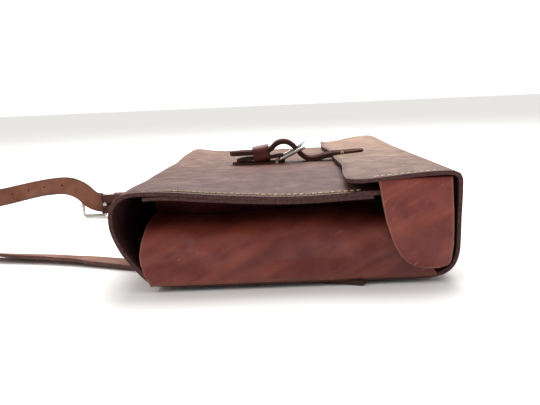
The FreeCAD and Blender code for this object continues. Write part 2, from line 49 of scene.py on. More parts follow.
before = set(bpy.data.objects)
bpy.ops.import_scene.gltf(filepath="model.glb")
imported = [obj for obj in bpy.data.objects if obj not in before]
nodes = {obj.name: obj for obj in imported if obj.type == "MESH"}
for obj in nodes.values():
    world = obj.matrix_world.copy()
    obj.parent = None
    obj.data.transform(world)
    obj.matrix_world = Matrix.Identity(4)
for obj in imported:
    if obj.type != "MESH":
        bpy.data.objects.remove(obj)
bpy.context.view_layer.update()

# ---- camera, floor and light ----

cameraSetup = {
    "place": (-0.0025, -0.677, 0.1394),
    "pitch": -9.38,      # degrees, down
    "yaw": 1.03,         # degrees, to the left
    "roll": -2.5,
    "lens": 44.9,
}

cameraData = bpy.data.cameras.new("camera")
cameraData.lens = cameraSetup["lens"]
cameraData.clip_start = 0.01
cameraObject = bpy.data.objects.new("camera", cameraData)
bpy.context.scene.collection.objects.link(cameraObject)
turn = Matrix.Rotation(math.radians(cameraSetup["yaw"]), 4, "Z")
tip = Matrix.Rotation(math.radians(90 + cameraSetup["pitch"]), 4, "X")
lean = Matrix.Rotation(math.radians(cameraSetup["roll"]), 4, "Z")
cameraObject.matrix_world = Matrix.Translation(cameraSetup["place"]) @ turn @ tip @ lean
bpy.context.scene.camera = cameraObject
bpy.context.scene.view_settings.view_transform = "Standard"

studio = {
    "world": (1.0, 0.995, 0.985),
    "backStrength": 1.03,
    "frontStrength": 0.50,
    "floor": (0.94, 0.93, 0.91),
    "topPlace": (0.10, 0.55, 1.1),
    "topSize": 1.2,
    "topPower": 22.0,
    "sidePlace": (-1.1, -0.5, 0.9),
    "sideSize": 0.8,
    "sidePower": 3.0,
}


def areaLight(name, place, size, power):
    data = bpy.data.lights.new(name, "AREA")
    data.shape = "DISK"
    data.size = size
    data.energy = power
    lamp = bpy.data.objects.new(name, data)
    lamp.location = place
    lamp.rotation_euler = (-Vector(place)).to_track_quat("-Z", "Y").to_euler()
    bpy.context.scene.collection.objects.link(lamp)


world = bpy.data.worlds.new("studio")
world.use_nodes = True
world.node_tree.nodes["Background"].inputs["Color"].default_value = (*studio["world"], 1)
bpy.context.scene.world = world
areaLight("topLight", studio["topPlace"], studio["topSize"], studio["topPower"])
areaLight("sideLight", studio["sidePlace"], studio["sideSize"], studio["sidePower"])

# ---- small helpers for node trees ----


def addNode(tree, kind, inputs=(), **settings):
    # a node whose inputs are given as (name or number, value or socket)
    made = tree.nodes.new("ShaderNode" + kind)
    for key, value in settings.items():
        setattr(made, key, value)
    for key, value in inputs:
        if isinstance(value, bpy.types.NodeSocket):
            tree.links.new(value, made.inputs[key])
        else:
            made.inputs[key].default_value = value
    return made


def mixColour(tree, factor, first, second, blendType="MIX"):
    values = [v if isinstance(v, bpy.types.NodeSocket) else (*v, 1) for v in (first, second)]
    made = addNode(tree, "Mix", [(0, factor), (6, values[0]), (7, values[1])], data_type="RGBA", blend_type=blendType)
    return made.outputs[2]


def spread(tree, value, low, high, start=0.0, end=1.0):
    made = addNode(tree, "MapRange", [(0, value), (1, low), (2, high), (3, start), (4, end)])
    return made.outputs[0]


def maths(tree, operation, first, second=0.0):
    return addNode(tree, "Math", [(0, first), (1, second)], operation=operation).outputs[0]


# the room is darker in front of the bag than behind and above it
sky = world.node_tree
way = addNode(sky, "SeparateXYZ", [(0, addNode(sky, "TexCoord").outputs["Object"])]).outputs[1]
sky.links.new(spread(sky, way, -0.6, 0.1, studio["frontStrength"], studio["backStrength"]),
              sky.nodes["Background"].inputs["Strength"])
print("camera and lights are in place")


def newMaterial(name):
    material = bpy.data.materials.new(name)
    material.use_nodes = True
    return material, material.node_tree, material.node_tree.nodes["Principled BSDF"]


# ---- leather: grain, mottling, worn patches, scuffs and dark cut edges, with painted sheen, painted highlight lines and painted shade ----

shellLook = {
    "dark": (0.056, 0.013, 0.009), "light": (0.098, 0.030, 0.020), "wearAndPaintedHighlight": (0.330, 0.200, 0.135),
    "mottle": 75.0, "patch": 36.0, "grain": 900.0, "grainDepth": 0.00012, "creaseDepth": 0.0005,
    "smooth": 0.46, "rough": 0.62, "edge": (0.022, 0.009, 0.009), "edgeShare": 0.8, "scuff": 0.45,
    "shine": 0.18, "paintedSheenAndFade": 0.52, "paintedRimHighlight": 0.5,
}
gussetLook = {
    "dark": (0.130, 0.018, 0.015), "light": (0.200, 0.032, 0.024), "wearAndPaintedHighlight": (0.360, 0.085, 0.045),
    "slant": -0.45, "rub": 0.55, "mottle": 70.0, "patch": 34.0, "grain": 1100.0, "grainDepth": 0.00014, "creaseDepth": 0.0008,
    "smooth": 0.38, "rough": 0.56, "edge": (0.30, 0.17, 0.10), "edgeShare": 0.55, "scuff": 0.7,
}
strapLook = {
    "dark": (0.130, 0.038, 0.018), "light": (0.220, 0.074, 0.038), "wearAndPaintedHighlight": (0.270, 0.125, 0.072),
    "mottle": 50.0, "patch": 18.0, "grain": 1500.0, "grainDepth": 0.00020, "creaseDepth": 0.0004,
    "smooth": 0.58, "rough": 0.85, "edge": (0.040, 0.018, 0.016), "edgeShare": 0.85, "scuff": 0.5,
}
browLook = {
    "dark": (0.034, 0.012, 0.011), "light": (0.090, 0.034, 0.028), "wearAndPaintedHighlight": (0.170, 0.095, 0.070),
    "mottle": 70.0, "patch": 20.0, "grain": 1200.0, "grainDepth": 0.00012, "creaseDepth": 0.0002,
    "smooth": 0.75, "rough": 0.92, "edge": (0.060, 0.030, 0.026), "edgeShare": 0.6, "scuff": 0.4, "shine": 0.06,
}
keeperLook = {
    "dark": (0.070, 0.012, 0.010), "light": (0.150, 0.032, 0.026), "wearAndPaintedHighlight": (0.240, 0.085, 0.060),
    "mottle": 90.0, "patch": 40.0, "grain": 1300.0, "grainDepth": 0.00012, "creaseDepth": 0.0002,
    "smooth": 0.42, "rough": 0.60, "edge": (0.050, 0.014, 0.012), "edgeShare": 0.7, "scuff": 0.4, "shine": 0.3,
}


def leather(name, look, cut=False):
    material, tree, shader = newMaterial(name)
    where = addNode(tree, "TexCoord").outputs["Object"]
    mottle = addNode(tree, "TexNoise", [("Vector", where), ("Scale", look["mottle"]), ("Detail", 6.0),
                                        ("Roughness", 0.62)])
    patch = addNode(tree, "TexNoise", [("Vector", where), ("Scale", look["patch"]), ("Detail", 6.0),
                                       ("Roughness", 0.6)])
    fine = addNode(tree, "TexNoise", [("Vector", where), ("Scale", look["grain"] * 0.45), ("Detail", 3.0)])
    grain = addNode(tree, "TexVoronoi", [("Vector", where), ("Scale", look["grain"]), ("Randomness", 1.0)],
                    feature="SMOOTH_F1")
    streaks = addNode(tree, "Mapping", [("Vector", where), ("Rotation", (0.1, look.get("slant", 0.1), 0.3)),
                                        ("Scale", (0.060, 0.0030, 0.0038))], vector_type="TEXTURE")
    scratch = addNode(tree, "TexNoise", [("Vector", streaks.outputs[0]), ("Scale", 1.0), ("Detail", 2.0)])
    colour = mixColour(tree, spread(tree, mottle.outputs[0], 0.33, 0.68), look["dark"], look["light"])
    tan = spread(tree, patch.outputs[0], 0.50, 0.72, 0.0, look.get("patches", 0.3))
    if "paintedSheenAndFade" in look:
        # the far half and the lid are lightened towards the worn colour in patches: partly faded leather, partly
        # painted sheen of the grazing light there
        spot = addNode(tree, "SeparateXYZ", [(0, where)])
        paintedSheenAndFadeRamp = spread(tree, spot.outputs[1], -0.12, 0.20)
        if "lidPaintedSheenAndFade" in look:
            paintedSheenAndFadeRamp = maths(tree, "ADD", paintedSheenAndFadeRamp, spread(tree, spot.outputs[1], -0.26, 0.02, *look["lidPaintedSheenAndFade"]))
        paintedSheenAndFade = maths(tree, "MULTIPLY", paintedSheenAndFadeRamp, look["paintedSheenAndFade"])
        tan = maths(tree, "MINIMUM", maths(tree, "ADD", tan, maths(tree, "MULTIPLY", paintedSheenAndFade,
                    spread(tree, mottle.outputs[0], 0.35, 0.65, 0.5, 1.0))), 0.95)
    colour = mixColour(tree, tan, colour, look["wearAndPaintedHighlight"])
    pores = spread(tree, grain.outputs[0], 0.05, 0.55, 0.55, 0.0)
    colour = mixColour(tree, maths(tree, "MULTIPLY", pores, 0.5), colour, look["dark"])
    scar = spread(tree, scratch.outputs[0], 0.68, 0.76)
    if "rub" in look:
        # broad rubbed streaks along one slant
        wide = addNode(tree, "Mapping", [("Vector", where), ("Rotation", (0, look["slant"], 0)),
                                         ("Scale", (0.070, 0.030, 0.011))], vector_type="TEXTURE")
        rubbed = addNode(tree, "TexNoise", [("Vector", wide.outputs[0]), ("Scale", 1.0), ("Detail", 4.0)])
        colour = mixColour(tree, spread(tree, rubbed.outputs[0], 0.45, 0.72, 0.0, look["rub"]), colour, look["wearAndPaintedHighlight"])
    colour = mixColour(tree, maths(tree, "MULTIPLY", scar, look["scuff"]), colour, look["wearAndPaintedHighlight"])
    rim = addNode(tree, "Attribute", attribute_name="edge").outputs["Fac"]
    # cut edges take the edge colour, dark and burnished on most pieces, light on the gussets, where the mask also holds
    # a painted highlight line along the bottom fold
    wearAndPaintedHighlight = maths(tree, "MULTIPLY", rim, spread(tree, fine.outputs[0], 0.3, 0.6, 0.6, 1.0))
    colour = mixColour(tree, maths(tree, "MULTIPLY", wearAndPaintedHighlight, look["edgeShare"]), colour, look["edge"])
    # painted shade: pieces with the darkening attribute (the gussets) go near-black inside the pleat, darker at the
    # top, and darker towards the spine end
    dirtAndPaintedShadeMask = addNode(tree, "Attribute", attribute_name="dirtAndPaintedShade").outputs["Fac"]
    colour = mixColour(tree, dirtAndPaintedShadeMask, colour, [0.1 * c for c in look["dark"]])
    # painted highlight: a thin light line in the worn colour along the very rim of the shell and lid, where the rounded
    # edge catches the light
    if "paintedRimHighlight" in look and not cut:
        colour = mixColour(tree, spread(tree, rim, 0.86, 0.95, 0.0, look["paintedRimHighlight"]), colour, look["wearAndPaintedHighlight"])
    if cut:
        layers = addNode(tree, "TexNoise", [("Vector", where), ("Scale", 500.0), ("Detail", 4.0)])
        colour = mixColour(tree, spread(tree, layers.outputs[0], 0.35, 0.65), look["edge"],
                           [0.55 * a + 0.45 * b for a, b in zip(look["edge"], look["light"])])
    tree.links.new(colour, shader.inputs["Base Color"])
    gloss = spread(tree, mottle.outputs[0], 0.3, 0.7, look["rough"], look["smooth"])
    tree.links.new(gloss, shader.inputs["Roughness"])
    shader.inputs["Specular IOR Level"].default_value = look.get("shine", 0.42)
    creases = addNode(tree, "Bump", [("Strength", 0.6), ("Distance", look["creaseDepth"]),
                                     ("Height", mottle.outputs[0])])
    skin = addNode(tree, "Bump", [("Strength", 0.55), ("Distance", look["grainDepth"]),
                                  ("Height", maths(tree, "ADD", grain.outputs[0], fine.outputs[0])),
                                  ("Normal", creases.outputs[0])])
    tree.links.new(skin.outputs[0], shader.inputs["Normal"])
    return material


def steel(name):
    material, tree, shader = newMaterial(name)
    where = addNode(tree, "TexCoord").outputs["Object"]
    cloud = addNode(tree, "TexNoise", [("Vector", where), ("Scale", 220.0), ("Detail", 5.0)])
    spots = addNode(tree, "TexNoise", [("Vector", where), ("Scale", 700.0), ("Detail", 3.0)])
    colour = mixColour(tree, spread(tree, cloud.outputs[0], 0.35, 0.7), (0.62, 0.61, 0.58), (0.42, 0.39, 0.35))
    colour = mixColour(tree, spread(tree, spots.outputs[0], 0.62, 0.70), colour, (0.10, 0.07, 0.05))
    tree.links.new(colour, shader.inputs["Base Color"])
    shader.inputs["Metallic"].default_value = 1.0
    tree.links.new(spread(tree, cloud.outputs[0], 0.3, 0.7, 0.18, 0.42), shader.inputs["Roughness"])
    bump = addNode(tree, "Bump", [("Strength", 0.4), ("Distance", 0.00008), ("Height", spots.outputs[0])])
    tree.links.new(bump.outputs[0], shader.inputs["Normal"])
    return material


def waxedThread(name):
    material, tree, shader = newMaterial(name)
    where = addNode(tree, "TexCoord").outputs["Object"]
    ply = addNode(tree, "TexWave", [("Vector", where), ("Scale", 700.0), ("Distortion", 2.0)],
                  bands_direction="DIAGONAL")
    dirtAndPaintedShade = addNode(tree, "TexNoise", [("Vector", where), ("Scale", 140.0), ("Detail", 4.0)])
    colour = mixColour(tree, spread(tree, ply.outputs[0], 0.2, 0.8), (0.62, 0.44, 0.24), (0.90, 0.72, 0.48))
    colour = mixColour(tree, spread(tree, dirtAndPaintedShade.outputs[0], 0.45, 0.7, 0.0, 0.7), colour, (0.34, 0.20, 0.11))
    # handling has darkened the thread near the closed edge
    spot = addNode(tree, "SeparateXYZ", [(0, where)])
    colour = mixColour(tree, spread(tree, spot.outputs[0], -0.10, 0.03, 0.7, 0.0), colour, (0.15, 0.08, 0.05))
    tree.links.new(colour, shader.inputs["Base Color"])
    tree.links.new(spread(tree, dirtAndPaintedShade.outputs[0], 0.3, 0.7, 0.55, 0.75), shader.inputs["Roughness"])
    bump = addNode(tree, "Bump", [("Strength", 0.7), ("Distance", 0.00015), ("Height", ply.outputs[0])])
    tree.links.new(bump.outputs[0], shader.inputs["Normal"])
    return material


cutLook = dict(browLook, edge=(0.058, 0.026, 0.026), light=(0.155, 0.085, 0.078), wearAndPaintedHighlight=(0.220, 0.135, 0.110))
fleshLook = dict(browLook, dark=(0.040, 0.014, 0.014), light=(0.090, 0.032, 0.030), wearAndPaintedHighlight=(0.120, 0.050, 0.044),
                 smooth=0.80, rough=0.95, shine=0.1)
shellLeather, shellCut = leather("shellLeather", shellLook), leather("shellCut", cutLook, cut=True)
shellFlesh = leather("shellFlesh", fleshLook)
# the lid and spine take more of the painted sheen and fade
lidLeather = leather("lidLeather", dict(shellLook, lidPaintedSheenAndFade=(0.35, 1.0)))
gussetLeather, gussetCut = leather("gussetLeather", gussetLook), leather("gussetCut", cutLook, cut=True)
strapFlesh, strapCut = leather("strapFlesh", strapLook), leather("strapCut", strapLook, cut=True)
strapGrain, grainCut = leather("strapGrain", browLook), leather("grainCut", browLook, cut=True)
keeperLeather, keeperCut = leather("keeperLeather", keeperLook), leather("keeperCut", keeperLook, cut=True)
buckleSteel = steel("buckleSteel")
thread = waxedThread("thread")
print("materials are made")

# ---- small helpers for meshes ----


def smoothLine(points, detail=8):
    # points read from a NURBS spline that has these control points
    data = bpy.data.curves.new("guide", "CURVE")
    data.dimensions = "3D"
    data.resolution_u = detail
    spline = data.splines.new("NURBS")
    spline.points.add(len(points) - 1)
    for point, place in zip(spline.points, points):
        point.co = (*place, 1)
    spline.order_u = 3
    spline.use_endpoint_u = True
    guide = bpy.data.objects.new("guide", data)
    mesh = bpy.data.meshes.new_from_object(guide)
    line = [v.co.copy() for v in mesh.vertices]
    bpy.data.objects.remove(guide)
    bpy.data.curves.remove(data)
    bpy.data.meshes.remove(mesh)
    return line


def crossSteps(width, fine=0.0012, fineCount=8, broadCount=40):
    # narrow steps near both edges, broad ones between
    broad = (width - 2 * fine * fineCount) / broadCount
    return [fine] * fineCount + [broad] * broadCount + [fine] * fineCount


def rolledSheet(line, steps, ways, closed=False):
    # leather as a surface: the line, grown sideways step by step; every point knows its place on the flat hide
    bm = bmesh.new()
    index = bm.verts.layers.int.new("index")
    along = bm.verts.layers.float.new("along")
    across = bm.verts.layers.float.new("across")
    row = [bm.verts.new(point) for point in line]
    length = 0.0
    for number, vert in enumerate(row):
        if number:
            length += (line[number] - line[number - 1]).length
        vert[index], vert[along], vert[across] = number, length, 0.0
    pairs = list(zip(row, row[1:])) + ([(row[-1], row[0])] if closed else [])
    edges = [bm.edges.new(pair) for pair in pairs]
    reach = 0.0
    for step in steps:
        reach += step
        grown = bmesh.ops.extrude_edge_only(bm, edges=edges)["geom"]
        verts = [g for g in grown if isinstance(g, bmesh.types.BMVert)]
        fresh = set(verts)
        edges = [g for g in grown if isinstance(g, bmesh.types.BMEdge) and set(g.verts) <= fresh]
        for vert in verts:
            vert.co += ways[vert[index]] * step
            vert[across] = reach
    return bm, length, reach


def markEdges(bm, length, width, depth=0.006, start=True, end=True):
    # how near each point is to a cut edge, from 0 to 1
    along, across = bm.verts.layers.float["along"], bm.verts.layers.float["across"]
    edge = bm.verts.layers.float.new("edge")
    for vert in bm.verts:
        gap = min(vert[across], width - vert[across])
        if start:
            gap = min(gap, vert[along])
        if end:
            gap = min(gap, length - vert[along])
        vert[edge] = max(0.0, 1.0 - gap / depth)


def faceOut(bm, test):
    # turns the whole open sheet so that it faces the way that test asks for
    score = sum(face.normal.dot(test(face.calc_center_median())) * face.calc_area() for face in bm.faces)
    if score < 0:
        bmesh.ops.reverse_faces(bm, faces=bm.faces)


def finishSheet(name, bm, materials, thickness, offset=-1.0, round=0.0005):
    # the surface gets its thickness and soft cut edges; materials are the outside, the cut edges, then the inside
    bm.normal_update()
    mesh = bpy.data.meshes.new(name)
    bm.to_mesh(mesh)
    bm.free()
    for polygon in mesh.polygons:
        polygon.use_smooth = True
    for material in materials:
        mesh.materials.append(material)
    piece = bpy.data.objects.new(name, mesh)
    bpy.context.scene.collection.objects.link(piece)
    solid = piece.modifiers.new("thickness", "SOLIDIFY")
    solid.thickness = thickness
    solid.offset = offset
    solid.use_even_offset = True
    solid.material_offset_rim = 1
    solid.material_offset = 2 if len(materials) > 2 else 0
    if round:
        bevel = piece.modifiers.new("softEdge", "BEVEL")
        bevel.width = round
        bevel.segments = 2
        bevel.limit_method = "ANGLE"
        bevel.angle_limit = math.radians(50)
    return piece


def smoothStep(value):
    value = min(1.0, max(0.0, value))
    return value * value * (3 - 2 * value)


def bump(value, centre, reach):
    return math.exp(-((value - centre) / reach) ** 2)


def unevenness(place, scale, amount, seed=0.0):
    return amount * noise.noise(place * scale + Vector((seed, seed, seed)))


acrossWay = Vector((0, 1, 0))

# ---- the case: front, bottom edge and back, then the spine, then the lid ----

caseShape = {
    "leather": 0.0032,
    "halfWidth": 0.210,
    "line": [(0.104, 0.0675), (0.070, 0.0675), (0.030, 0.0675), (-0.020, 0.0675), (-0.062, 0.0675), (-0.092, 0.0678),
             (-0.1140, 0.0690), (-0.1235, 0.0615), (-0.1262, 0.0500), (-0.1205, 0.0330), (-0.1100, 0.0175),
             (-0.1000, 0.0055), (-0.088, 0.0030), (-0.050, 0.0030), (0.020, 0.0030), (0.070, 0.0030),
             (0.0985, 0.0030)],
    "nearRise": 0.0026,     # the front panel's near edge, above the closed bottom edge
    "nearDip": 0.0046,
    "nearLift": 0.0030,
    "farDip": 0.0040,
    "stitchGroove": 0.0005,
    "seamInset": 0.006,
}
halfWidth = caseShape["halfWidth"]


def nearShare(y):
    # from 0 past the middle to 1 at the near end
    return min(1.0, max(0.0, (0.06 - y) / 0.27))


def panelRise(x, y):
    # how far the front panel stands above or below its flat drawing
    side = smoothStep((abs(y) - 0.075) / 0.135)
    wave = caseShape["nearRise"] * bump(x, -0.092, 0.030) - caseShape["nearDip"] * bump(x, 0.012, 0.062)
    wave -= 0.0030 * bump(x, 0.105, 0.035)
    far = -caseShape["farDip"] * (1 - bump(x, -0.120, 0.03))
    rise = side * (wave if y < 0 else far)
    rise += caseShape["nearLift"] * nearShare(y)
    rise += 0.0009 * bump(y, -0.07, 0.05) * bump(x, 0.02, 0.05)
    return rise + unevenness(Vector((x, y, 0)), 14, 0.0008)


def topShare(z):
    return smoothStep((z - 0.046) / 0.014)


def shapeCase(co):
    inward = halfWidth - abs(co.y)
    rise = panelRise(co.x, co.y) * topShare(co.z)
    if co.z > 0.06:
        rise -= caseShape["stitchGroove"] * bump(inward, caseShape["seamInset"], 0.0014)
    left = smoothStep((-0.085 - co.x) / 0.03)
    bulge = 0.0035 * bump(inward, 0.06, 0.05) * (co.y < 0)
    co.x += left * (0.0010 * math.sin(co.y * 31) - bulge) * smoothStep(co.z / 0.03)
    co.z += rise
    return co


def caseSheet(name, points, steps, halfSpan):
    line = [Vector((x, -halfSpan, z)) for x, z in points]
    line = smoothLine(line, 10)
    return rolledSheet(line, steps, [acrossWay] * len(line))


bm, length, width = caseSheet("caseShell", caseShape["line"], crossSteps(2 * halfWidth, 0.0010, 10, 44), halfWidth)
faceOut(bm, lambda c: Vector((c.x, 0, c.z - 0.035)))
markEdges(bm, length, width, end=False)
for vert in bm.verts:
    vert.co = shapeCase(vert.co)
caseShell = finishSheet("caseShell", bm, [shellLeather, shellCut, shellFlesh], caseShape["leather"])
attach(caseShell, "case")
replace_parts(caseShell, "body_shell")

spineShape = {
    "line": [(0.0985, 0.0030), (0.1080, 0.0034), (0.1178, 0.0090), (0.1224, 0.0190), (0.1232, 0.0320),
             (0.1236, 0.0460)],
    "start": (0.0990, 0, 0.0030),
    "end": (0.1225, 0, 0.0260),
}
bm, length, width = caseSheet("spine", spineShape["line"], crossSteps(2 * halfWidth, 0.0010, 10, 44), halfWidth)
faceOut(bm, lambda c: Vector((1, 0, -0.2)))
markEdges(bm, length, width, start=False, end=False)
spine = finishSheet("spine", bm, [lidLeather, shellCut, shellFlesh], caseShape["leather"])
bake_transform(spine, "case", "spine", spineShape["start"], spineShape["end"])
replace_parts(spine, "spine_panel")

lidShape = {
    "line": [(0.1236, 0.0460), (0.1240, 0.0600), (0.1240, 0.0735), (0.1170, 0.0768), (0.1040, 0.0766),
             (0.0860, 0.0757), (0.0680, 0.0745), (0.0500, 0.0732)],
    "halfSpan": 0.213,
    "corner": 0.014,
    "mouthEdge": 0.0500,
    "nearBulge": 0.0065,
    "farDroop": 0.0035,
    "nearLift": 0.0036,
    "start": (0.1240, 0, 0.0600),
    "end": (0.1100, 0, 0.0765),
}


def lidEdge(y):
    # where the lid's free edge lies along X
    corner, outer = lidShape["corner"], lidShape["halfSpan"]
    place = lidShape["mouthEdge"] - lidShape["nearBulge"] * bump(y, -0.180, 0.065) + 0.0012 * math.sin(y * 34)
    over = max(0.0, abs(y) - (outer - corner))
    return place + corner - math.sqrt(max(0.0, corner ** 2 - over ** 2))


def lidRise(x, y):
    free = smoothStep((0.112 - x) / 0.06)
    rise = -lidShape["farDroop"] * smoothStep((y - 0.02) / 0.18) * free
    rise += 0.0022 * bump(y, 0.205, 0.014) * smoothStep((0.062 - x) / 0.012)
    rise += 0.0009 * bump(y, -0.120, 0.05) * free - 0.0007 * bump(y, -0.204, 0.02) * free
    rise += lidShape["nearLift"] * nearShare(y)
    return rise + unevenness(Vector((x, y, 3)), 16, 0.0007) * free


bm, length, width = caseSheet("lid", lidShape["line"], crossSteps(2 * lidShape["halfSpan"], 0.0010, 12, 44),
                              lidShape["halfSpan"])
faceOut(bm, lambda c: Vector((0.3, 0, 1)))
for vert in bm.verts:
    co = vert.co
    if co.z < 0.0700:
        shrink = (0.0700 - co.z) / 0.024 * (lidShape["halfSpan"] - halfWidth) / lidShape["halfSpan"]
        co.y *= 1 - min(1.0, shrink / ((lidShape["halfSpan"] - halfWidth) / lidShape["halfSpan"])) * (
            1 - halfWidth / lidShape["halfSpan"])
    reach = smoothStep((0.100 - co.x) / 0.045) if co.z > 0.07 else 0.0
    co.x += reach * (lidEdge(co.y) - lidShape["mouthEdge"])
    inward = lidShape["halfSpan"] - abs(co.y)
    if co.z > 0.07 and 0.058 < co.x < 0.112:
        co.z -= caseShape["stitchGroove"] * bump(inward, caseShape["seamInset"], 0.0014)
    co.z += lidRise(co.x, co.y) * smoothStep((co.z - 0.048) / 0.022)
markEdges(bm, length, width, start=False)
lid = finishSheet("lid", bm, [lidLeather, shellCut, shellFlesh], caseShape["leather"])
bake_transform(lid, "spine", "lid", lidShape["start"], lidShape["end"])
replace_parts(lid, "lid_panel")
print("the case, spine and lid are made")

# ---- the ends: pleated gussets and the lid's ears ----

gussetShape = {
    "leather": 0.0024,
    "line": [(-0.2100, 0.0643), (-0.2000, 0.0643), (-0.1880, 0.0640), (-0.1700, 0.0560), (-0.1600, 0.0490),
             (-0.1720, 0.0480), (-0.1960, 0.0455), (-0.2065, 0.0370), (-0.2086, 0.0250), (-0.2088, 0.0150),
             (-0.2092, 0.0090), (-0.2098, 0.0070), (-0.2090, 0.0063), (-0.2040, 0.0062), (-0.1960, 0.0062)],
    "left": [(0.0643, -0.1010), (0.0615, -0.1000), (0.0590, -0.0985), (0.0520, -0.1000), (0.0440, -0.1030),
             (0.0350, -0.1056), (0.0270, -0.1066), (0.0200, -0.1062), (0.0120, -0.1036), (0.0062, -0.0990)],
    "right": [(0.0643, 0.0620), (0.0062, 0.1060)],
    "steps": 120,
}


def readTable(table, z):
    for (highZ, highX), (lowZ, lowX) in zip(table, table[1:]):
        if z >= lowZ:
            share = min(1.0, (highZ - z) / (highZ - lowZ))
            return highX + (lowX - highX) * max(0.0, share)
    return table[-1][1]


def gusset(name, side):
    line = smoothLine([(0, y, z) for y, z in gussetShape["line"]], 8)
    count = gussetShape["steps"]
    bm, length, width = rolledSheet(line, [1.0 / count] * count, [Vector((1, 0, 0))] * len(line))
    across = bm.verts.layers.float["across"]
    edge = bm.verts.layers.float.new("edge")
    dirtAndPaintedShade = bm.verts.layers.float.new("dirtAndPaintedShade")
    for vert in bm.verts:
        co = vert.co
        share = vert[across]
        low, high = readTable(gussetShape["left"], co.z), readTable(gussetShape["right"], co.z)
        co.x = low + (high - low) * share
        depth = co.y + halfWidth
        # the edge mask: the free left end's light cut edge, plus a painted highlight line along the bottom fold
        vert[edge] = max(0.5 * bump(co.z, 0.0068, 0.0005) * (co.y < -0.206), 1 - min(1.0, (co.x - low) / 0.0012))
        free = smoothStep(depth / 0.004)
        # painted shade: the darkening value is nearly full inside the pleat under the front panel's edge and rises
        # towards the top, where the overhang shades the gusset; it also grows towards the spine end
        inside = smoothStep((co.z - 0.0480) / 0.004) * smoothStep((depth - 0.001) / 0.012)
        vert[dirtAndPaintedShade] = max(0.88 * inside, 0.30 * share + 0.14 * smoothStep((co.z - 0.035) / 0.02))
        folds = 0.0022 * math.sin(co.x * 46 + 1.2 + side) + 0.0015 * math.sin(co.x * 83 + co.z * 60)
        lump = unevenness(Vector((co.x, side * 2.0, co.z)), 30, 0.0035)
        lump += unevenness(Vector((co.x, side * 5.0, co.z)), 75, 0.0012)
        middle = smoothStep((co.z - 0.009) / 0.012) * (1 - smoothStep((co.z - 0.052) / 0.008))
        co.y += max(0.0, 0.0016 + folds + lump) * middle
        co.z += (0.0020 * math.sin(co.x * 38 + 0.6) - 0.0012) * middle * free
        co.z += panelRise(co.x, side * halfWidth) * topShare(co.z) * 0.96
    if side > 0:
        bmesh.ops.scale(bm, vec=(1, -1, 1), verts=bm.verts)
    faceOut(bm, lambda c: Vector((0, -side if abs(c.z - 0.035) < 0.02 else 0, 1 if c.z > 0.055 else 0)))
    piece = finishSheet(name, bm, [gussetLeather, gussetCut], gussetShape["leather"], round=0.0004)
    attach(piece, "case")
    return piece


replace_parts(gusset("nearGusset", -1.0), "near_gusset")
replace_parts(gusset("farGusset", 1.0), "far_gusset")

earShape = {
    "leather": 0.0024,
    "top": 0.0726,
    "line": [(-0.1985, 0.0728), (-0.2080, 0.0728), (-0.2127, 0.0722), (-0.2132, 0.0640), (-0.2134, 0.0480),
             (-0.2135, 0.0320), (-0.2134, 0.0200), (-0.2128, 0.0112)],
    "left": [(0.0730, 0.0650), (0.0600, 0.0672), (0.0450, 0.0702), (0.0300, 0.0748), (0.0220, 0.0790),
             (0.0160, 0.0845), (0.0128, 0.0905), (0.0110, 0.0985)],
    "right": [(0.0730, 0.1165), (0.0500, 0.1172), (0.0280, 0.1168), (0.0170, 0.1152), (0.0140, 0.1140),
              (0.0122, 0.1110), (0.0110, 0.1050)],
    "steps": 60,
}


def ear(name, side):
    line = smoothLine([(0, y, z) for y, z in earShape["line"]], 9)
    count = earShape["steps"]
    bm, length, width = rolledSheet(line, [1.0 / count] * count, [Vector((1, 0, 0))] * len(line))
    across, along = bm.verts.layers.float["across"], bm.verts.layers.float["along"]
    edge = bm.verts.layers.float.new("edge")
    for vert in bm.verts:
        co = vert.co
        low, high = readTable(earShape["left"], co.z), readTable(earShape["right"], co.z)
        co.x = low + (high - low) * vert[across]
        gap = min(co.x - low, high - co.x, length - vert[along])
        vert[edge] = max(0.0, 1.0 - gap / 0.0016)
        hang = smoothStep((0.068 - co.z) / 0.03)
        co.y -= hang * (0.0012 * math.sin((co.x - 0.07) * 60) + 0.0006)
        co.y += unevenness(Vector((co.x, side, co.z)), 40, 0.0009) * hang
        co.z += lidRise(co.x, side * 0.205) * smoothStep((co.z - 0.050) / 0.02)
    if side > 0:
        bmesh.ops.scale(bm, vec=(1, -1, 1), verts=bm.verts)
    faceOut(bm, lambda c: Vector((0, side, 0)) if c.z < 0.07 else Vector((0, 0, 0)))
    piece = finishSheet(name, bm, [gussetLeather, gussetCut], earShape["leather"], round=0.0005)
    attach(piece, "lid")
    return piece


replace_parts(ear("nearEar", -1.0), "near_ear")
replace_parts(ear("farEar", 1.0), "far_ear")
print("gussets and ears are made")

# ---- seams ----

stitchShape = {"length": 0.0034, "width": 0.0014, "height": 0.0014, "pitch": 0.0045, "sides": 8, "rings": 5, "paintedHoleShade": 0.0009}


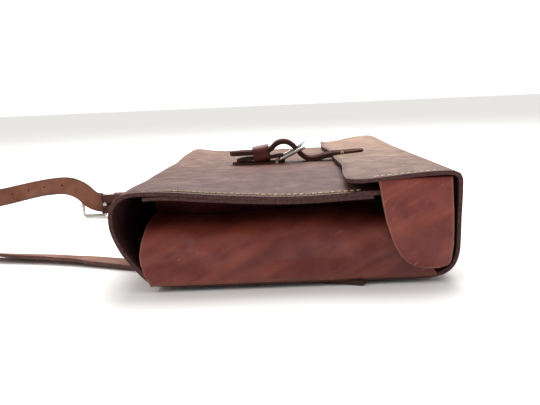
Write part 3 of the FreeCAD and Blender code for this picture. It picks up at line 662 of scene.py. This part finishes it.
def stitchRow(name, places, body, material=thread, size=1.0):
    # places: (middle, direction, up) of each stitch
    bm = bmesh.new()
    for number, (middle, along, up) in enumerate(places):
        made = bmesh.ops.create_uvsphere(bm, u_segments=stitchShape["sides"], v_segments=stitchShape["rings"],
                                         radius=0.5)["verts"]
        sidewise = up.cross(along).normalized()
        turned = Matrix((along, sidewise, along.cross(sidewise))).transposed().to_4x4()
        slant = Matrix.Rotation(math.radians(7 + 5 * math.sin(number * 2.3)), 4, "Z")
        grow = Matrix.Diagonal((stitchShape["length"] * size, stitchShape["width"] * size,
                                stitchShape["height"] * size, 1))
        bmesh.ops.transform(bm, matrix=Matrix.Translation(middle) @ turned @ slant @ grow, verts=made)
        # painted shade: a dark flattened dot of the flesh leather stands for the shade in the stitch hole between
        # stitches
        paintedHoleShade = bmesh.ops.create_uvsphere(bm, u_segments=8, v_segments=5, radius=stitchShape["paintedHoleShade"])["verts"]
        flat = Matrix.Diagonal((1.0, 0.8, 0.35, 1))
        bmesh.ops.transform(bm, matrix=Matrix.Translation(middle + along * (stitchShape["pitch"] / 2) - up * 0.0002)
                            @ turned @ flat, verts=paintedHoleShade)
        for face in {face for vert in paintedHoleShade for face in vert.link_faces}:
            face.material_index = 1
    bmesh.ops.recalc_face_normals(bm, faces=bm.faces)
    mesh = bpy.data.meshes.new(name)
    bm.to_mesh(mesh)
    bm.free()
    for polygon in mesh.polygons:
        polygon.use_smooth = True
    mesh.materials.append(material)
    mesh.materials.append(shellFlesh)
    piece = bpy.data.objects.new(name, mesh)
    bpy.context.scene.collection.objects.link(piece)
    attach(piece, body)
    return piece


def seam(name, node, body, height):
    # a row over the CAD seam's own length, on the surface that height gives
    low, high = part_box(node)
    y = (low.y + high.y) / 2
    count = int((high.x - low.x - stitchShape["length"]) / stitchShape["pitch"]) + 1
    places = []
    for number in range(count):
        x = low.x + 0.0016 + number * stitchShape["pitch"]
        tilt = (height(x + 0.002, y) - height(x - 0.002, y)) / 0.004
        wander = 0.0002 * math.sin(number * 1.9)
        places.append((Vector((x, y + wander, height(x, y) + 0.0003)), Vector((1, 0, tilt)).normalized(),
                       Vector((0, 0, 1))))
    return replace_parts(stitchRow(name, places, body), node)


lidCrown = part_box("near_lid_seam")


def lidTop(x, y):
    share = (x - 0.0500) / 0.0670
    return 0.0732 + 0.0036 * share - 0.0004 * math.sin(share * math.pi) + lidRise(x, y)


def frontTop(x, y):
    return 0.0675 + panelRise(x, y)


for side, sign in (("near", -1), ("far", 1)):
    seam(side + "FrontSeam", side + "_front_seam", "case", frontTop)
    seam(side + "LidSeam", side + "_lid_seam", "lid", lidTop)
print("seams are sewn")

# ---- the closure: sewn chape, keeper, steel buckle and the strap end from the lid ----

closureShape = {
    "width": 0.0210,
    "chapeLeather": 0.0024,
    "strapLeather": 0.0042,
    "chapeLine": [(-0.0505, 0.0690), (-0.0400, 0.0689), (-0.0200, 0.0688), (-0.0060, 0.0688), (0.0012, 0.0688),
                  (0.0014, 0.0754), (-0.0040, 0.0756), (-0.0100, 0.0743), (-0.0200, 0.0737), (-0.0350, 0.0735),
                  (-0.0460, 0.0720)],
    "point": 0.016,
    "slot": 0.0021,
    "slotReach": 0.0095,
    "billetLine": [(0.0805, 0.0764), (0.0720, 0.0764), (0.0600, 0.0760), (0.0500, 0.0755), (0.0400, 0.0735),
                   (0.0310, 0.0716), (0.0245, 0.0718), (0.0180, 0.0765), (0.0100, 0.0870), (0.0020, 0.0905),
                   (-0.0060, 0.0885), (-0.0110, 0.0828), (-0.0180, 0.0804), (-0.0290, 0.0800),
                   (-0.0400, 0.0800), (-0.0525, 0.0792)],
    "keeperMiddle": (-0.0210, 0.0, 0.0780),
    "keeperSize": (0.0160, 0.0253, 0.0145),
    "keeperWall": 0.0019,
    "keeperLean": -9.0,
}


def flatStrip(name, points, width, materials, thickness, shape=None, round=0.0006):
    # a straight strip that follows a line in the XZ plane
    line = smoothLine([(x, -width / 2, z) for x, z in points], 8)
    bm, length, wide = rolledSheet(line, crossSteps(width, 0.0007, 3, 12), [acrossWay] * len(line))
    markEdges(bm, length, wide, depth=0.0022)
    if shape:
        shape(bm, length, wide)
    bmesh.ops.recalc_face_normals(bm, faces=bm.faces)
    return finishSheet(name, bm, materials, thickness, offset=0.0, round=round)


def narrowTo(vert, along, start, reach, share):
    # draws a strip in to a rounded point over its last stretch
    t = min(1.0, max(0.0, (along - start) / reach))
    vert.co.y *= 1 - (1 - share) * (1 - math.sqrt(max(0.0, 1 - t * t)))


def shapeChape(bm, length, width):
    along = bm.verts.layers.float["along"]
    for vert in bm.verts:
        narrowTo(vert, closureShape["point"] - vert[along], 0.0, closureShape["point"], 0.12)
        narrowTo(vert, vert[along], length - 0.007, 0.007, 0.45)
        vert.co.z += 0.0002 * math.sin(vert.co.x * 300)
    gone = [f for f in bm.faces if abs(f.calc_center_median().y) < closureShape["slot"]
            and f.calc_center_median().x > -closureShape["slotReach"]]
    bmesh.ops.delete(bm, geom=gone, context="FACES")


chape = flatStrip("closureChape", closureShape["chapeLine"], closureShape["width"], [strapGrain, grainCut],
                  closureShape["chapeLeather"], shapeChape)
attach(chape, "case")
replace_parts(chape, "closure_chape")


def shapeBillet(bm, length, width):
    along = bm.verts.layers.float["along"]
    for vert in bm.verts:
        narrowTo(vert, vert[along], length - 0.014, 0.014, 0.30)
        narrowTo(vert, 0.012 - vert[along], 0.0, 0.012, 0.55)
        vert.co.z -= 0.0007 * (vert.co.y / 0.0105) ** 2
        vert.co.z += unevenness(vert.co, 60, 0.0004)


billet = flatStrip("closureBillet", closureShape["billetLine"], closureShape["width"], [strapGrain, grainCut],
                   closureShape["strapLeather"], shapeBillet, round=0.0008)
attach(billet, "lid")
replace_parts(billet, "closure_billet")


def leatherLoop(name, middle, size, wall, ways, lean=0.0):
    # a band bent into a rounded rectangle; ways are its length, width and height directions
    lengthWay, widthWay, heightWay = ways
    bm = bmesh.new()
    wide, high = (size[1] - wall) / 2, (size[2] - wall) / 2
    corners = [bm.verts.new(widthWay * a * wide + heightWay * b * high) for a, b in ((-1, -1), (1, -1), (1, 1), (-1, 1))]
    for a, b in zip(corners, corners[1:] + corners[:1]):
        bm.edges.new((a, b))
    bmesh.ops.bevel(bm, geom=corners, offset=0.0030, segments=5, profile=0.5, affect="VERTICES", material=-1)
    bmesh.ops.subdivide_edges(bm, edges=[e for e in bm.edges if e.calc_length() > 0.004], cuts=6)
    edges = bm.edges[:]
    edge = bm.verts.layers.float.new("edge")
    bmesh.ops.translate(bm, vec=lengthWay * (-size[0] / 2), verts=bm.verts)
    count = 10
    for step in range(count):
        grown = bmesh.ops.extrude_edge_only(bm, edges=edges)["geom"]
        verts = [g for g in grown if isinstance(g, bmesh.types.BMVert)]
        fresh = set(verts)
        edges = [g for g in grown if isinstance(g, bmesh.types.BMEdge) and set(g.verts) <= fresh]
        bmesh.ops.translate(bm, vec=lengthWay * (size[0] / count), verts=verts)
        for vert in verts:
            vert[edge] = 1.0 if step == count - 1 else 0.0
    for vert in bm.verts:
        up = vert.co.dot(heightWay)
        if up > 0:
            vert.co += heightWay * (0.0006 * (1 - (vert.co.dot(widthWay) / (size[1] / 2)) ** 2))
    tipped = Matrix.Rotation(math.radians(lean), 4, widthWay)
    bmesh.ops.transform(bm, matrix=Matrix.Translation(middle) @ tipped, verts=bm.verts)
    bmesh.ops.recalc_face_normals(bm, faces=bm.faces)
    return finishSheet(name, bm, [keeperLeather, keeperCut], wall, offset=0.0, round=0.0005)


keeper = leatherLoop("closureKeeper", Vector(closureShape["keeperMiddle"]), closureShape["keeperSize"],
                     closureShape["keeperWall"], (Vector((1, 0, 0)), acrossWay, Vector((0, 0, 1))),
                     closureShape["keeperLean"])
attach(keeper, "closure_loop")
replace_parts(keeper, "closure_keeper")

places = []
for y in (-0.0085, -0.0050, -0.0015, 0.0020, 0.0055, 0.0088):
    places.append((Vector((0.0590, y, 0.0781)), acrossWay, Vector((0, 0, 1))))
for x, z in ((0.0582, 0.0766), (0.0600, 0.0766)):
    places.append((Vector((x, -0.0108, z)), Vector((0, 0, 1)), Vector((0, -1, 0))))
stitchRow("billetStitches", places, "lid")
places = [(Vector((x, -0.0108, z)), Vector((0.15, 0, 1)).normalized(), Vector((0, -1, 0)))
          for x in (-0.0065, -0.0050) for z in (0.0693, 0.0722)]
stitchRow("chapeStitches", places, "case", size=1.25)
print("the closure is made")

# ---- the shoulder strap ----

strapShape = {
    "width": 0.0210,
    "leather": 0.0030,
    "exit": (-0.1120, -0.1430, 0.0022),
    # x, y, z of the middle, then how far the flesh side leans over from facing up, in degrees
    "route": [(-0.1120, -0.1430, 0.0022, 0), (-0.1500, -0.1260, 0.0028, 3), (-0.1800, -0.1120, 0.0034, 8),
              (-0.2120, -0.1020, 0.0037, 10), (-0.2500, -0.0930, 0.0042, 12), (-0.3000, -0.0780, 0.0088, 38),
              (-0.3720, -0.0500, 0.0126, 88), (-0.4380, -0.0120, 0.0126, 92), (-0.4670, 0.0440, 0.0126, 92),
              (-0.4630, 0.1080, 0.0130, 90), (-0.4130, 0.1450, 0.0150, 84), (-0.3500, 0.1420, 0.0235, 74),
              (-0.3150, 0.1340, 0.0310, 64), (-0.2820, 0.1230, 0.0375, 58), (-0.2550, 0.1140, 0.0395, 60),
              (-0.2370, 0.1080, 0.0325, 70), (-0.2270, 0.1050, 0.0220, 84), (-0.2160, 0.1105, 0.0162, 90),
              (-0.2030, 0.1205, 0.0151, 90), (-0.1910, 0.1200, 0.0151, 90), (-0.1750, 0.1205, 0.0151, 90),
              (-0.1590, 0.1210, 0.0151, 90)],
    "holes": 5,
    "holeStart": 0.0330,
    "holePitch": 0.0250,
    "holeRadius": 0.0013,
}

route = strapShape["route"]
strapLine = smoothLine([point[:3] for point in route], 10)
leanLine = [point.x for point in smoothLine([(point[3], 0, 0) for point in route], 10)]


def strapWays(line, leans):
    # the direction across the strap at each place, with the flesh side up at 0 and to the right at 90 degrees
    ways, faces = [], []
    for number in range(len(line)):
        ahead = line[min(number + 1, len(line) - 1)] - line[max(number - 1, 0)]
        ahead.normalize()
        right = ahead.cross(Vector((0, 0, 1))).normalized()
        up = right.cross(ahead)
        angle = math.radians(leans[number])
        ways.append(-right * math.cos(angle) + up * math.sin(angle))
        faces.append(up * math.cos(angle) + right * math.sin(angle))
    return ways, faces


def strap(name, line, leans, flesh, holes=()):
    ways, faces = strapWays(line, leans)
    width = strapShape["width"]
    low = [point - way * (width / 2) for point, way in zip(line, ways)]
    bm, length, wide = rolledSheet(low, crossSteps(width, 0.0007, 3, 12), ways)
    markEdges(bm, length, wide, depth=0.0018)
    index, across = bm.verts.layers.int["index"], bm.verts.layers.float["across"]
    for vert in bm.verts:
        share = (vert[across] - width / 2) / (width / 2)
        vert.co += faces[vert[index]] * (0.0004 * share * share + unevenness(vert.co, 45, 0.0004))
    bm.normal_update()
    if sum(face.normal.dot(faces[face.verts[0][index]]) for face in bm.faces) < 0:
        bmesh.ops.reverse_faces(bm, faces=bm.faces)
    for reach in holes:
        punch(bm, line, reach)
    piece = finishSheet(name, bm, flesh, strapShape["leather"], offset=0.0, round=0.0007)
    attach(piece, "case")
    return piece


def punch(bm, line, reach):
    # opens a round hole in the middle of the strap, this far before its end at the buckle
    travelled, spot = 0.0, line[-1]
    for a, b in zip(reversed(line), list(reversed(line))[1:]):
        travelled += (b - a).length
        if travelled >= reach:
            spot = b
            break
    nearest = min(bm.verts, key=lambda v: (v.co - spot).length)
    centre = nearest.co.copy()
    faces = bmesh.ops.bevel(bm, geom=[nearest], offset=0.0012, segments=1, profile=0.5, affect="VERTICES",
                            material=-1)["faces"]
    hole = min(faces, key=lambda f: (f.calc_center_median() - centre).length)
    bmesh.ops.subdivide_edges(bm, edges=hole.edges[:], cuts=2)
    hole = min(bm.faces, key=lambda f: (f.calc_center_median() - centre).length)
    for vert in hole.verts:
        vert.co = centre + (vert.co - centre).normalized() * strapShape["holeRadius"]
    bmesh.ops.delete(bm, geom=[hole], context="FACES_ONLY")


reaches = [0.0810 + strapShape["holeStart"] + number * strapShape["holePitch"] for number in range(strapShape["holes"])]
shoulderStrap = strap("shoulderStrap", strapLine, leanLine, [strapFlesh, strapCut], reaches)
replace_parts(shoulderStrap, "shoulder_strap_flat", "shoulder_strap_loop")

farRoute = [(-0.1760, 0.1120, 0.0024, 0), (-0.1440, 0.1170, 0.0022, 0), (-0.1120, 0.1280, 0.0018, 0)]
nearEnd = [(-0.1125, -0.1428, 0.0017, 0), (-0.0600, -0.1605, 0.0016, 0), (0.0000, -0.1830, 0.0016, 0),
           (0.0570, -0.2050, 0.0016, 0)]
farEnd = [(-0.1120, 0.1280, 0.0016, 0), (-0.0600, 0.1518, 0.0016, 0), (0.0520, 0.2020, 0.0016, 0)]
for name, points, node in (("shoulderStrapFar", farRoute, "shoulder_strap_far"), ("nearStrapEnd", nearEnd, "near_strap_end"),
                           ("farStrapEnd", farEnd, "far_strap_end")):
    leans = [point.x for point in smoothLine([(point[3], 0, 0) for point in points], 6)]
    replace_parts(strap(name, smoothLine([point[:3] for point in points], 6), leans, [strapGrain, grainCut]), node)

shoulderShape = {
    "heel": (-0.2130, 0.1120, 0.0151),
    "chapeLine": [(-0.0575, -0.0031), (-0.0400, -0.0030), (-0.0200, -0.0030), (-0.0040, -0.0031), (0.0031, -0.0031),
                  (0.0031, 0.0031), (-0.0030, 0.0031), (-0.0090, 0.0018), (-0.0200, 0.0016), (-0.0400, 0.0016),
                  (-0.0575, 0.0014)],
    "keeperPlace": 0.0185,
}
heel = Vector(shoulderShape["heel"])
line = smoothLine([(heel.x - u, heel.y + n, heel.z - 0.0105) for u, n in shoulderShape["chapeLine"]], 8)
bm, length, width = rolledSheet(line, crossSteps(0.0210, 0.0007, 3, 12), [Vector((0, 0, 1))] * len(line))
markEdges(bm, length, width, depth=0.0022)
gone = [f for f in bm.faces if abs(f.calc_center_median().z - heel.z) < closureShape["slot"]
        and f.calc_center_median().x < heel.x + closureShape["slotReach"]]
bmesh.ops.delete(bm, geom=gone, context="FACES")
bmesh.ops.recalc_face_normals(bm, faces=bm.faces)
shoulderChape = finishSheet("shoulderChape", bm, [strapGrain, grainCut], closureShape["chapeLeather"], offset=0.0)
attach(shoulderChape, "case")
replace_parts(shoulderChape, "shoulder_chape")

low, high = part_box("shoulder_keeper")
shoulderKeeper = leatherLoop("shoulderKeeper", (low + high) / 2, (0.0160, 0.0253, 0.0140), closureShape["keeperWall"],
                             (Vector((1, 0, 0)), Vector((0, 0, 1)), Vector((0, 1, 0))))
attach(shoulderKeeper, "shoulder_loop")
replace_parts(shoulderKeeper, "shoulder_keeper")

# ---- finishes for the CAD nodes that stay ----

for name in ("closure_buckle", "closure_prong", "shoulder_buckle", "shoulder_prong"):
    nodes[name].data.materials.clear()
    nodes[name].data.materials.append(buckleSteel)
for name in ("near_back_seam", "far_back_seam"):
    nodes[name].data.materials.clear()
    nodes[name].data.materials.append(thread)

# ---- the floor ----

material, tree, shader = newMaterial("paleFloor")
where = addNode(tree, "TexCoord").outputs["Object"]
cloud = addNode(tree, "TexNoise", [("Vector", where), ("Scale", 3.0)])
tree.links.new(mixColour(tree, cloud.outputs[0], studio["floor"], [0.985 * c for c in studio["floor"]]),
               shader.inputs["Base Color"])
shader.inputs["Roughness"].default_value = 0.9
bm = bmesh.new()
bmesh.ops.create_grid(bm, x_segments=4, y_segments=4, size=6.0)
mesh = bpy.data.meshes.new("floor")
bm.to_mesh(mesh)
bm.free()
mesh.materials.append(material)
floor = bpy.data.objects.new("floor", mesh)
bpy.context.scene.collection.objects.link(floor)

print("done")
